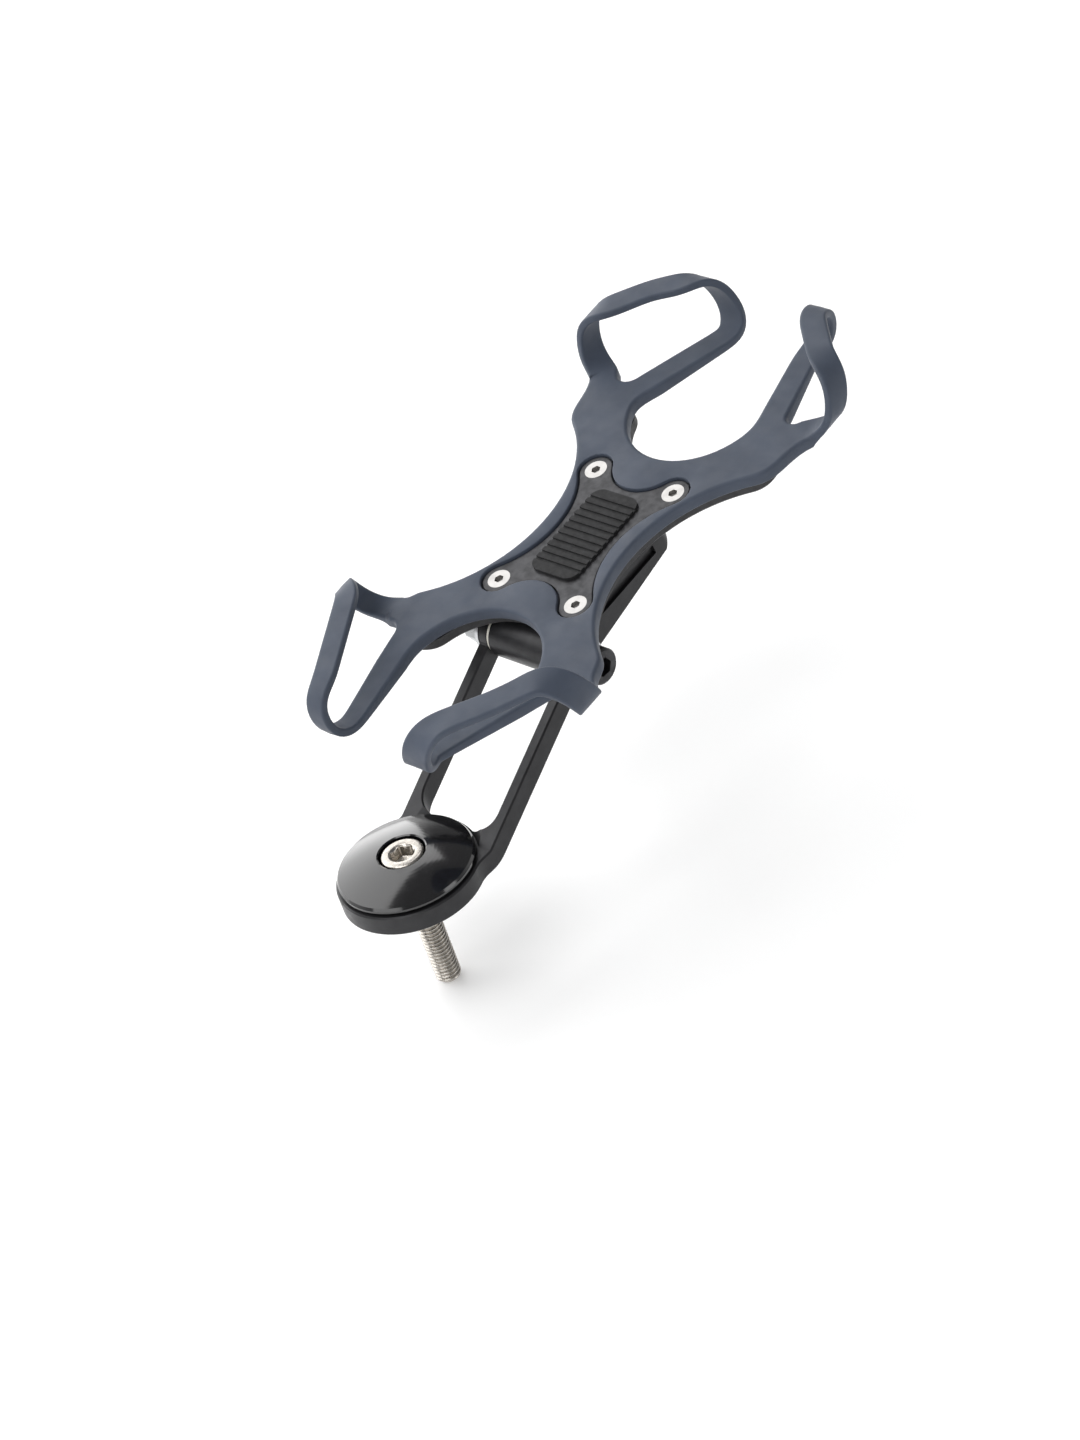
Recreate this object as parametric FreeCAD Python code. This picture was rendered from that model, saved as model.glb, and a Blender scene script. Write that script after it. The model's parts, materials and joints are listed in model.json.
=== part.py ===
"""Steerer-cap phone mount for a bicycle, in millimetres.

The origin is on the steerer axis, at the underside of the mount's ring, where
it stands on the stem.  +Z runs up the steerer, +Y is forward and +X is the
rider's right.  The cradle is drawn level, about the middle of the phone's
pocket, and then tilted into place on its pivot.
"""
import FreeCAD, Part

import math
import os

os.makedirs("parts", exist_ok=True)

Vec = FreeCAD.Vector
X, Y, Z = Vec(1, 0, 0), Vec(0, 1, 0), Vec(0, 0, 1)

# ---- driving dimensions ----------------------------------------------------
# ring on the steerer
steerer_bore_r = 14.4            # 28.6 mm steerer tube with 0.1 mm all round
ring_r = 16.6
plate_t = 5.0                    # ring and arms are cut from one 5 mm plate
edge_bevel = 0.35

# fork arms
arm_inner_x = 11.5
arm_w = 2.9
arm_slope = 32.3                 # degrees above the ring's plane
arm_bend_y = 12.5                # where the ring's top face turns upward
bend_r_top, bend_r_under = 1.7, 8.5
crotch_r, shoulder_r = 4.5, 9.0  # blends of the arms into the ring
pivot_y = 53.6
eye_r = 5.0

# top cap and its bolt
cap_r, cap_neck_r, cap_gap = 15.9, 15.1, 0.6
cap_lip_t, cap_top_z = 1.2, 9.8
spigot_r, spigot_z = 11.4, 1.0
bolt_head_r, bolt_head_h, bolt_head_top = 5.0, 6.0, 9.5
bolt_hex, bolt_thread_r, bolt_thread_l = 5.0, 3.0, 27.0
bolt_shank_r = 2.7               # the shank is relieved above the thread

# pivot through the arms
pivot_r = 2.5                    # M5
pivot_head_r, pivot_head_h, pivot_hex = 4.25, 5.0, 4.0
pivot_nut_af, pivot_nut_h = 8.0, 5.0
washer_t, washer_r = 1.0, 5.0
friction_t = 1.0
sleeve_r = 3.5
running_gap = 0.05
hole_play = 0.1                  # between a bolt and the hole that it passes through

# phone's pocket, and the cradle's place on its pivot
tilt = 8.5                       # degrees between the phone and the ring's plane
pivot_back, pivot_drop = 24.0, 21.5
pocket_u, pocket_v = 36.2, 70.0  # half the width and half the length
pocket_back, pocket_front = -9.6, 1.0

# cradle stack, as heights below the middle of the phone's glass
plate_under, plate_top = -16.0, -13.0
web_top, web_floor = -9.8, -11.6
retainer_top, pad_top = -10.4, -9.6
block_nose_v, block_nose_w = 14.0, -22.0
lobe_u, lobe_v = 22.0, 33.0      # ends of the plate's four arms
screw_u, screw_v = 12.0, 18.0    # the four retainer screws
retainer_r = 4.1                 # the retainer's rounded corners, round those screws
m3_r, m3_head_r, m3_head_h, m3_hex = 1.5, 2.7, 1.2, 2.0
m3_nut_af, m3_nut_h = 5.5, 1.7
block_screw_v = (-11.0, 7.0)
m4_r, m4_head_r, m4_head_h, m4_hex = 2.0, 4.0, 2.0, 2.5
pad_u, pad_v, pad_ribs = 7.0, 13.0, 5
rib_pitch, groove_w = 2.0, 0.8
channel_l, channel_h, channel_depth = 20.0, 2.4, 1.0

# bands
band_w, band_t, band_gap = 6.5, 2.2, 0.3
band_bend = 5.5
hub_lobe_u, hub_lobe_v, hub_lobe_r = 23.5, 34.0, 7.5
yoke_r = 11.4
# for each band: its corner, how far along the long side its front run and its
# rear leg meet the edge, and the same across the short end
band_places = {
    "top_left": (-1, 1, (53.3, 45.0), (18.1, 8.5)),
    "top_right": (1, 1, (56.2, 46.0), (22.0, 15.0)),
    "bottom_left": (-1, -1, (43.1, 36.5), (18.3, 17.0)),
    "bottom_right": (1, -1, (47.5, 40.0), (18.2, 7.5)),
}

# ---- worked out ------------------------------------------------------------
slope = math.radians(arm_slope)
arm_outer_x = arm_inner_x + arm_w
arm_axis_rise = plate_t - plate_t / 2 / math.cos(slope)
pivot_z = arm_axis_rise + (pivot_y - arm_bend_y) * math.tan(slope)
block_half = arm_inner_x - friction_t - running_gap
washer_out = arm_outer_x + washer_t
nut_top = plate_under + m3_nut_h + 0.1   # the M3 nuts lie just inside their pockets
cradle_place = FreeCAD.Placement(Vec(0, pivot_y, pivot_z), FreeCAD.Rotation(X, tilt))
cradle_place = cradle_place.multiply(
    FreeCAD.Placement(Vec(0, pivot_back, pivot_drop), FreeCAD.Rotation())
)


# ---- helpers ---------------------------------------------------------------
def save(shape, node):
    """Write one sub-part, as its solid or as a group of solids."""
    shape = shape.removeSplitter()
    shape = shape.Solids[0] if len(shape.Solids) == 1 else Part.makeCompound(shape.Solids)
    shape.exportStep(f"parts/{node}.step")
    box = shape.BoundBox
    print(f"{node:22s} solids {len(shape.Solids)}  valid {shape.isValid()}"
          f"  volume {shape.Volume:9.1f}  z {box.ZMin:7.2f} to {box.ZMax:7.2f}")


def cyl(radius, start, end, axis=Z, through=Vec(0, 0, 0)):
    """A cylinder along an axis, from one distance along it to another."""
    return Part.makeCylinder(radius, end - start, through + axis * start, axis)


def prism(points, along):
    """A straight prism over a closed polygon."""
    return Part.Face(Part.makePolygon(points + points[:1])).extrude(along)


def hexagon(across_flats, start, end, axis, through):
    """A hexagonal prism along an axis."""
    radius = across_flats / math.sqrt(3)
    side = X if abs(axis.x) < 0.5 else Y
    other = axis.cross(side)
    turns = [math.radians(60 * i) for i in range(6)]
    ring = [through + axis * start + side * (radius * math.cos(a)) + other * (radius * math.sin(a))
            for a in turns]
    return prism(ring, axis * (end - start))


def revolve(outline):
    """A solid of revolution about Z from (radius, height) points."""
    points = [Vec(r, 0, z) for r, z in outline]
    return Part.Face(Part.makePolygon(points + points[:1])).revolve(Vec(0, 0, 0), Z, 360)


def edges_where(shape, test):
    return [edge for edge in shape.Edges if test(edge)]


def is_line_along(edge, axis):
    """Whether a straight edge runs along an axis."""
    ends = [v.Point for v in edge.Vertexes]
    return len(ends) == 2 and abs((ends[1] - ends[0]).normalize().dot(axis)) > 0.999


def four_lobed(end_u, end_v, end_r, waist_u, waist_v, under, top):
    """An X-shaped plate: four round ends joined by arcs that touch them."""
    height = Z * (top - under)
    # centres of the hollow arcs at the sides and at the ends
    side_c = (end_u**2 + end_v**2 - (waist_u - end_r) ** 2) / (2 * (end_u - waist_u + end_r))
    end_c = (end_u**2 + end_v**2 - (waist_v - end_r) ** 2) / (2 * (end_v - waist_v + end_r))
    to_side = Vec(side_c - end_u, -end_v, 0).normalize() * end_r
    to_end = Vec(-end_u, end_c - end_v, 0).normalize() * end_r
    ends = Vec(end_u, end_v, under)
    quarter = [ends + to_side, ends + to_end]
    around = quarter + [Vec(-p.x, p.y, under) for p in reversed(quarter)]
    around = around + [Vec(p.x, -p.y, under) for p in reversed(around)]
    shape = prism(around, height)
    for sign in (1, -1):
        shape = shape.cut(cyl(side_c - waist_u, under, top, Z, Vec(sign * side_c, 0, 0)))
        shape = shape.cut(cyl(end_c - waist_v, under, top, Z, Vec(0, sign * end_c, 0)))
    lobes = [cyl(end_r, under, top, Z, Vec(a * end_u, b * end_v, 0)) for a in (1, -1) for b in (1, -1)]
    return shape.multiFuse(lobes).removeSplitter()


def in_cradle(shape):
    """Move a piece drawn level about the phone's middle into its place."""
    shape.Placement = cradle_place.multiply(shape.Placement)
    return shape


def retainer_holes(radius, start, end):
    return [cyl(radius, start, end, Z, Vec(a * screw_u, b * screw_v, 0)) for a in (1, -1) for b in (1, -1)]


# ---- ring and arms ---------------------------------------------------------
def fork_bracket():
    """One plate: a ring on the steerer and two arms bent up to the pivot."""
    reach = 200
    plan = cyl(ring_r, -reach, reach)
    for sign in (1, -1):
        x0, x1 = sorted((sign * arm_inner_x, sign * arm_outer_x))
        plan = plan.fuse(Part.makeBox(x1 - x0, pivot_y, 2 * reach, Vec(x0, 0, -reach)))
    plan = plan.removeSplitter()

    def corner(edge, x):
        point = edge.Vertexes[0].Point
        on_ring = abs(math.hypot(point.x, point.y) - ring_r) < 0.01
        return is_line_along(edge, Z) and on_ring and abs(abs(point.x) - x) < 0.01

    plan = plan.makeFillet(shoulder_r, edges_where(plan, lambda e: corner(e, arm_outer_x)))
    plan = plan.makeFillet(crotch_r, edges_where(plan, lambda e: corner(e, arm_inner_x)))

    # the side view: flat at the ring, then rising along the arm
    rise = math.tan(slope)
    under_y = arm_bend_y + plate_t * math.tan(slope / 2)
    points = [(-reach, 0), (under_y, 0), (pivot_y + plate_t / 2 * math.sin(slope),
              (pivot_y + plate_t / 2 * math.sin(slope) - under_y) * rise),
              (pivot_y - plate_t / 2 * math.sin(slope),
              plate_t + (pivot_y - plate_t / 2 * math.sin(slope) - arm_bend_y) * rise),
              (arm_bend_y, plate_t), (-reach, plate_t)]
    side = prism([Vec(-reach, y, z) for y, z in points], X * (2 * reach))

    def bend(edge, y):
        return is_line_along(edge, X) and abs(edge.Vertexes[0].Point.y - y) < 0.01

    side = side.makeFillet(bend_r_top, edges_where(side, lambda e: bend(e, arm_bend_y)))
    side = side.makeFillet(bend_r_under, edges_where(side, lambda e: bend(e, under_y)))

    arms = plan.common(side)
    pivot = Vec(0, pivot_y, pivot_z)
    for sign in (1, -1):
        arms = arms.fuse(cyl(eye_r, arm_inner_x, arm_outer_x, X * sign, pivot))
    arms = arms.removeSplitter().cut(cyl(steerer_bore_r, -reach, reach))
    arms = arms.makeChamfer(edge_bevel, arms.Edges)

    # the ring itself stays flat, and the arms' roots ramp up from its rim
    ramp_r = ring_r - edge_bevel
    ramp = Part.makeCone(ramp_r, 2 * ramp_r, ramp_r, Vec(0, 0, plate_t))
    ring = cyl(ring_r, 0, plate_t).cut(cyl(steerer_bore_r, 0, plate_t))
    ring = ring.makeChamfer(edge_bevel, edges_where(ring, lambda e: isinstance(e.Curve, Part.Circle)))
    arms = arms.cut(cyl((steerer_bore_r + ring_r) / 2, -reach, reach)).cut(ramp)
    return arms.fuse(ring).cut(cyl(pivot_r + hole_play, -reach, reach, X, pivot))


def top_cap():
    """A domed cap whose spigot centres the ring and whose bolt pulls it down."""
    lip_z = plate_t + cap_gap
    recess_r = bolt_head_r + 0.5
    seat_z = bolt_head_top - bolt_head_h
    dome_steps = 12
    edge_z = lip_z + cap_lip_t
    dome = []
    for i in range(dome_steps + 1):
        radius = cap_r - 0.4 - (cap_r - 0.4 - recess_r - 0.3) * i / dome_steps
        sag = ((radius - recess_r) / (cap_r - recess_r)) ** 2
        dome.append((radius, cap_top_z - (cap_top_z - edge_z) * (0.35 * sag + 0.65 * sag**0.5)))
    outline = [(bolt_thread_r + 0.2, seat_z), (recess_r, seat_z), (recess_r, cap_top_z - 0.3)]
    outline += dome[::-1]
    outline += [(cap_r, edge_z - 0.5), (cap_r, lip_z + 0.2), (cap_r - 0.2, lip_z), (cap_neck_r, lip_z),
                (cap_neck_r, plate_t), (spigot_r, plate_t), (spigot_r, spigot_z + 0.8),
                (spigot_r - 0.8, spigot_z), (bolt_thread_r + 0.2, spigot_z)]
    return revolve(outline)


def top_cap_bolt():
    """An M6 socket screw, threaded from the ring's underside down."""
    seat_z, tip = bolt_head_top - bolt_head_h, 0.6
    outline = [(0, bolt_head_top), (bolt_head_r - 0.5, bolt_head_top), (bolt_head_r, bolt_head_top - 0.5),
               (bolt_head_r, seat_z), (bolt_shank_r, seat_z), (bolt_shank_r, 0), (bolt_thread_r, 0),
               (bolt_thread_r, -bolt_thread_l), (bolt_thread_r - tip, -bolt_thread_l - tip),
               (0, -bolt_thread_l - tip)]
    socket = hexagon(bolt_hex, bolt_head_top - 3.2, bolt_head_top + 1, Z, Vec(0, 0, 0))
    mouth = Part.makeCone(bolt_hex / 2 - 0.1, bolt_hex / 2 + 0.6, 0.7, Vec(0, 0, bolt_head_top - 0.7), Z)
    return revolve(outline).cut(socket).cut(mouth)


# ---- pivot -----------------------------------------------------------------
def pivot_pieces():
    """The cross bolt, its nut and washers, and the sleeve that turns on it."""
    at = Vec(0, pivot_y, pivot_z)
    head_end = washer_out + pivot_head_h
    nut_end = washer_out + pivot_nut_h
    bolt = cyl(pivot_r, -(nut_end + 1.0), washer_out, X, at)
    bolt = bolt.fuse(cyl(pivot_head_r, washer_out, head_end, X, at))
    bolt = bolt.removeSplitter()
    rims = edges_where(bolt, lambda e: e.Length > 1 and abs(e.BoundBox.XMin - e.BoundBox.XMax) < 0.01
                       and (abs(e.BoundBox.XMin - head_end) < 0.01 or e.BoundBox.XMin < -nut_end))
    bolt = bolt.makeChamfer(0.45, rims)
    bolt = bolt.cut(hexagon(pivot_hex, head_end - 2.5, head_end + 1, X, at))
    collar_h = 1.4
    nut = hexagon(pivot_nut_af, washer_out, nut_end - collar_h, -X, at)
    nut = nut.fuse(cyl(pivot_nut_af / 2 - 0.3, washer_out, nut_end, -X, at))
    nut = nut.cut(cyl(pivot_r, -head_end, head_end, X, at))
    save(bolt, "pivot_bolt")
    save(nut, "pivot_nut")
    for side, axis in (("right", X), ("left", -X)):
        washer = cyl(washer_r, arm_outer_x, washer_out, axis, at)
        save(washer.cut(cyl(pivot_r + hole_play, 0, head_end, axis, at)), f"pivot_washer_{side}")
        friction = cyl(eye_r, arm_inner_x - friction_t, arm_inner_x, axis, at)
        save(friction.cut(cyl(pivot_r + hole_play, 0, head_end, axis, at)), f"friction_washer_{side}")
    sleeve = cyl(sleeve_r, -block_half, block_half, X, at)
    save(sleeve.cut(cyl(pivot_r + running_gap, -head_end, head_end, X, at)), "pivot_sleeve")


# ---- cradle ----------------------------------------------------------------
def hinge_block():
    """The knuckle between the arms, running forward under the plate."""
    knuckle_r = plate_under + pivot_drop
    low = -pivot_drop - knuckle_r
    points = [(-pivot_back, plate_under), (block_nose_v, plate_under), (block_nose_v, block_nose_w + 3.0),
              (block_nose_v - 3.0, block_nose_w), (-pivot_back + 1.0, low), (-pivot_back, low)]
    shape = prism([Vec(-block_half, v, w) for v, w in points], X * (2 * block_half))
    at = Vec(0, -pivot_back, -pivot_drop)
    shape = shape.fuse(cyl(knuckle_r, -block_half, block_half, X, at)).removeSplitter()
    nose = edges_where(shape, lambda e: is_line_along(e, Z) and e.Vertexes[0].Point.y > 0)
    shape = shape.makeFillet(3.0, nose)
    shape = shape.cut(cyl(sleeve_r, -block_half, block_half, X, at))
    for v in block_screw_v:
        shape = shape.cut(cyl(m4_r, block_nose_w + 1.0, plate_under, Z, Vec(0, v, 0)))
    # a channel on each flank saves weight
    channel = Part.makeBox(2 * channel_depth, channel_l, channel_h)
    for sign in (1, -1):
        at = Vec(sign * block_half - channel_depth, -0.6 * channel_l, plate_under - 4.2)
        shape = shape.cut(channel.translated(at))
    return shape


def block_screws():
    """Two M4 countersunk screws from the plate into the block."""
    screws = []
    for v in block_screw_v:
        at = Vec(0, v, 0)
        shank = cyl(m4_r, block_nose_w + 1.0, plate_top - m4_head_h, Z, at)
        head = Part.makeCone(m4_r, m4_head_r, m4_head_h, Vec(0, v, plate_top - m4_head_h), Z)
        socket = hexagon(m4_hex, plate_top - 0.7 * m4_head_h, plate_top + 1, Z, at)
        screws.append(shank.fuse(head).removeSplitter().cut(socket))
    return Part.makeCompound(screws)


def cradle_plate():
    """The stiff X-shaped plate that everything in the cradle is screwed to."""
    shape = four_lobed(lobe_u, lobe_v, 6.5, 12.0, 24.0, plate_under, plate_top)
    rims = edges_where(shape, lambda e: abs(e.BoundBox.ZMin - e.BoundBox.ZMax) < 0.01
                       and abs(e.BoundBox.ZMin - plate_under) < 0.01)
    shape = shape.makeChamfer(0.8, rims)
    for v in block_screw_v:
        shape = shape.cut(cyl(m4_r + hole_play, plate_under, plate_top, Z, Vec(0, v, 0)))
        seat = Vec(0, v, plate_top - m4_head_h)
        shape = shape.cut(Part.makeCone(m4_r, m4_head_r, m4_head_h, seat, Z))
    for hole in retainer_holes(m3_r + hole_play, plate_under, plate_top):
        shape = shape.cut(hole)
    for a in (1, -1):
        for b in (1, -1):
            at = Vec(a * screw_u, b * screw_v, 0)
            shape = shape.cut(hexagon(m3_nut_af + hole_play, plate_under, nut_top, Z, at))
            lightening = cyl(2.6, plate_under, plate_top, Z, Vec(a * lobe_u, b * lobe_v, 0))
            shape = shape.cut(lightening)
    return shape


def web_hub():
    """The silicone web's middle, hollowed for the retainer plate."""
    shape = four_lobed(hub_lobe_u, hub_lobe_v, hub_lobe_r, 13.5, 25.5, plate_top, web_top)
    rims = edges_where(shape, lambda e: abs(e.BoundBox.ZMin - e.BoundBox.ZMax) < 0.01
                       and abs(e.BoundBox.ZMin - web_top) < 0.01)
    shape = shape.makeChamfer(0.5, rims)
    shape = shape.cut(four_lobed(screw_u, screw_v, retainer_r + 0.3, 9.3, 15.3, web_floor, web_top + 1))
    for hole in retainer_holes(m3_r + hole_play, plate_top, web_floor):
        shape = shape.cut(hole)
    return shape


def retainer_plate():
    """The thin steel plate that clamps the web's middle."""
    shape = four_lobed(screw_u, screw_v, retainer_r, 9.0, 15.0, web_floor, retainer_top)
    for a in (1, -1):
        for b in (1, -1):
            at = Vec(a * screw_u, b * screw_v, web_floor)
            shape = shape.cut(Part.makeCone(m3_r, m3_head_r, m3_head_h, at, Z))
    return shape


def retainer_screws():
    """Four M3 countersunk screws, flush with the retainer plate."""
    screws = []
    for shank in retainer_holes(m3_r, plate_under + 0.2, web_floor):
        at = shank.BoundBox.Center
        head = Part.makeCone(m3_r, m3_head_r, m3_head_h, Vec(at.x, at.y, web_floor), Z)
        socket = hexagon(m3_hex, retainer_top - 0.75 * m3_head_h, retainer_top + 1, Z, Vec(at.x, at.y, 0))
        screws.append(shank.fuse(head).removeSplitter().cut(socket))
    return Part.makeCompound(screws)


def retainer_nuts():
    """Four thin M3 nuts in the plate's hexagonal pockets."""
    nuts = []
    for hole in retainer_holes(m3_r, plate_under, nut_top):
        at = Vec(hole.BoundBox.Center.x, hole.BoundBox.Center.y, 0)
        nuts.append(hexagon(m3_nut_af, nut_top - m3_nut_h, nut_top, Z, at).cut(hole))
    return Part.makeCompound(nuts)


def grip_pad():
    """A ribbed rubber pad under the phone, between the four screws."""
    height = pad_top - retainer_top
    shape = Part.makeBox(2 * pad_u, 2 * pad_v, height, Vec(-pad_u, -pad_v, retainer_top))
    shape = shape.makeFillet(3.0, edges_where(shape, lambda e: is_line_along(e, Z)))
    for i in range(-pad_ribs, pad_ribs + 1):
        corner = Vec(-pad_u, rib_pitch * i - groove_w / 2, pad_top - height / 2)
        shape = shape.cut(Part.makeBox(2 * pad_u, groove_w, height / 2, corner))
    return shape


# ---- bands -----------------------------------------------------------------
band_side_u = pocket_u + band_gap + band_t / 2
band_end_v = pocket_v + band_gap + band_t / 2
band_back_w = pocket_back - band_gap - band_t / 2
band_front_w = pocket_front + band_gap + band_t / 2


def mirrored(vector, sign_u, sign_v):
    return Vec(vector.x * sign_u, vector.y * sign_v, vector.z)


def wrap():
    """Middle line of a strap round one edge of the phone, from the back to the front.

    Each station is its distance inside the strap's outermost line, its height,
    and the two parts of the direction that faces away from the phone.
    """
    cut = band_bend * (1 - math.sqrt(0.5))
    low, high = band_back_w, band_front_w
    return [(band_bend, low, 0, -1), (cut, low + cut, 1, -1), (0, low + band_bend, 1, 0),
            (0, high - band_bend, 1, 0), (cut, high - cut, 1, 1), (band_bend, high, 0, 1)]


def band_route(on_side, on_end):
    """Stations of a band, from its yoke round the long side, the front and the end."""
    rise = wrap()
    steps = len(rise) - 1
    stations = []
    for i, (inside, w, out, up) in enumerate(rise):
        v = on_side[1] + (on_side[0] - on_side[1]) * i / steps
        stations.append((Vec(band_side_u - inside, v, w), Vec(out, 0, up)))
    for i, (inside, w, out, up) in enumerate(reversed(rise)):
        u = on_end[0] + (on_end[1] - on_end[0]) * i / steps
        stations.append((Vec(u, band_end_v - inside, w), Vec(0, out, up)))
    yoke = Vec(hub_lobe_u, hub_lobe_v, band_back_w)
    legs = [yoke + (stations[end][0] - yoke).normalize() * (yoke_r - 2.0) for end in (0, -1)]
    return [(legs[0], -Z)] + stations + [(legs[1], -Z)]


def band_slide(on_side, on_end):
    """The way a band is pulled off its corner, square to its front run."""
    run = Vec(on_end[0] - band_side_u + band_bend, band_end_v - band_bend - on_side[0], 0)
    return Vec(run.y, -run.x, 0).normalize()


def band(sign_u, sign_v, on_side, on_end):
    """One corner band: a flat strap round the corner, closed by its yoke."""
    stations = [(mirrored(p, sign_u, sign_v), mirrored(n, sign_u, sign_v))
                for p, n in band_route(on_side, on_end)]
    points = [point for point, _ in stations]
    sections = []
    for i, (point, facing) in enumerate(stations):
        along = (points[min(i + 1, len(points) - 1)] - points[max(i - 1, 0)]).normalize()
        wide = along.cross(facing).normalize() * (band_w / 2)
        thick = wide.cross(along).normalize() * (band_t / 2)
        corners = [point + wide + thick, point - wide + thick, point - wide - thick, point + wide - thick]
        sections.append(Part.makePolygon(corners + corners[:1]))
    strap = Part.makeLoft(sections, True, True)

    under, top = band_back_w - band_t / 2 - 0.2, band_back_w + band_t / 2 + 0.1
    at = Vec(sign_u * hub_lobe_u, sign_v * hub_lobe_v, 0)
    outward = mirrored(band_slide(on_side, on_end), sign_u, sign_v)
    across = Z.cross(outward)
    front = [at + outward * d + across * e for d, e in ((2, -20), (20, -20), (20, 20), (2, 20))]
    front = prism([Vec(p.x, p.y, under) for p in front], Z * (top - under))
    yoke = cyl(yoke_r, under, top, Z, at).cut(cyl(hub_lobe_r + 0.3, under, top, Z, at))
    return yoke.common(front).fuse(strap)


# ---- write everything ------------------------------------------------------
save(fork_bracket(), "fork_bracket")
save(top_cap(), "top_cap")
save(top_cap_bolt(), "top_cap_bolt")
pivot_pieces()

for piece in (hinge_block, block_screws, cradle_plate, retainer_nuts, web_hub, retainer_plate,
              retainer_screws, grip_pad):
    save(in_cradle(piece()), piece.__name__)

for name, place in band_places.items():
    save(in_cradle(band(*place)), f"band_{name}")
    way = cradle_place.Rotation.multVec(mirrored(band_slide(*place[2:]), *place[:2]))
    print(f"band_{name} slides along {way.x:.4f} {way.y:.4f} {way.z:.4f}")

print(f"pivot at {pivot_y:.3f} {pivot_z:.3f}; cradle origin at {cradle_place.Base}")
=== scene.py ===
"""Looks of the steerer-cap phone mount, in metres, in the frame of its CAD model."""
import json
import math

import bmesh
import bpy
import numpy as np
from mathutils import Matrix, Vector
from mathutils.geometry import delaunay_2d_cdt


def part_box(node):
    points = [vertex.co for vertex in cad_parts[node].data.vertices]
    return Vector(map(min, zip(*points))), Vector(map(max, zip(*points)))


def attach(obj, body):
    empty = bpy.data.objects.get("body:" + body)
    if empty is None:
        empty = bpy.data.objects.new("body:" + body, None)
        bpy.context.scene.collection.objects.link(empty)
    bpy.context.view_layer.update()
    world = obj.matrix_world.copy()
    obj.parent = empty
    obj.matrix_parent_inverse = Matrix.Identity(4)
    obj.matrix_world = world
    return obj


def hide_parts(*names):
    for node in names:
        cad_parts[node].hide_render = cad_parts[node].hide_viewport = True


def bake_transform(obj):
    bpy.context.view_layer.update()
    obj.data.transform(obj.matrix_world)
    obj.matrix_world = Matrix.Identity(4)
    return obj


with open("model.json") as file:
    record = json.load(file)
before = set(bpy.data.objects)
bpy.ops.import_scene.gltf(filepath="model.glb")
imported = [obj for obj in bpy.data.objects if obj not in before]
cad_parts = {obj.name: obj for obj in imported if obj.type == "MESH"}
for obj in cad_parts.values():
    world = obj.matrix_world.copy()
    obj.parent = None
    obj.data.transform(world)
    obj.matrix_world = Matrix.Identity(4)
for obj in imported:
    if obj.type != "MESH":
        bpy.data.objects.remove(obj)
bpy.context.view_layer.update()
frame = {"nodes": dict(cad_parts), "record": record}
nodes = frame["nodes"]
MM = 0.001

# ---- the cradle's own frame: u across, v along the phone, w out of its glass -----------
mounts = {mount["name"]: mount for mount in frame["record"]["mounts"]}
SEAT_V, SEAT_W = -20.4, -9.8                 # the phone seat's place in that frame, mm
w_axis = Vector(mounts["phone_seat"]["axis"]).normalized()
u_axis = Vector((1, 0, 0))
v_axis = w_axis.cross(u_axis)
cradle_at = Vector(mounts["phone_seat"]["pos_m"]) - (v_axis * SEAT_V + w_axis * SEAT_W) * MM
cradle = Matrix((u_axis, v_axis, w_axis)).transposed()


def from_cradle(u, v, w):
    """A point in metres from millimetres in the cradle's frame."""
    return cradle_at + cradle @ Vector((u, v, w)) * MM


# ---- sizes of the silicone web, mm -----------------------------------------------------
LOBE_U, LOBE_V, LOBE_R = 23.5, 34.0, 7.5     # ends of the web's four arms
WAIST_U, WAIST_V = 13.5, 25.5                # its narrow middle, at the sides and the ends
RETAINER = (12.0, 18.0, 4.1, 9.0, 15.0)      # the steel retainer: lobe u, v, r, waists
RETAINER_TOP, RETAINER_PLAY = -10.4, 0.3     # its outer face, and the gap round it
RETAINER_RIM = (0.3, 0.15)                   # rounding of its upper and lower edge
SCREW_HEAD_R, SCREW_SHANK_R = 2.72, 1.52
WEB_TOP, WEB_UNDER, RECESS_FLOOR = -9.8, -12.95, -11.6
RIM_TOP_R, RIM_UNDER_R, RIM_FLAT = 0.75, 0.55, 0.25
LIP_R, LIP_MID = 0.25, 0.07                  # rounding of the recess's mouth

LEG_HALF, LEG_SIDE, LEG_END = 3.5, 13.0, 14.0    # a band's legs: half width, lengths
CROTCH_R, PORT_GAP = 3.4, 0.9                # round the fork, and clear of the edge's bend

EDGE_U, EDGE_V = 37.6, 71.4                  # middle line of a strap on the phone's edges
BACK_W, FRONT_W, EDGE_BEND = -11.0, 2.4, 5.5
STRAP_T, STRAP_RIM = 1.9, 0.5
STRAP_EXTRA = 0.5                            # a strap is this much wider on an edge
CROWN_EDGE, CROWN_FRONT = 0.12, 0.1          # how far its outer face bulges
STRAP_STEP, STRAP_SMOOTH = 0.9, 2.1          # distance between sections, rounding of turns
SIDE_STEPS, LOBE_STEPS, END_STEPS, HOLE_STEPS = 16, 10, 12, 32      # facets of the arcs

# for each band: its corner's signs, the strap's width on the front, where it crosses the
# long side's edge at the front and the back, the same for the short end, and points of
# its front run where that isn't straight
BANDS = {
    "top_left": (-1, 1, 6.1, (53.0, 45.0), (17.6, 8.5), [(24.4, 61.6)]),
    "top_right": (1, 1, 5.6, (56.0, 46.0), (21.6, 15.0), []),
    "bottom_left": (-1, -1, 4.9, (42.0, 34.5), (18.3, 17.0), []),
    "bottom_right": (1, -1, 6.6, (46.8, 39.0), (17.6, 7.5), [(29.6, 51.2), (25.6, 56.8)]),
}


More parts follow.
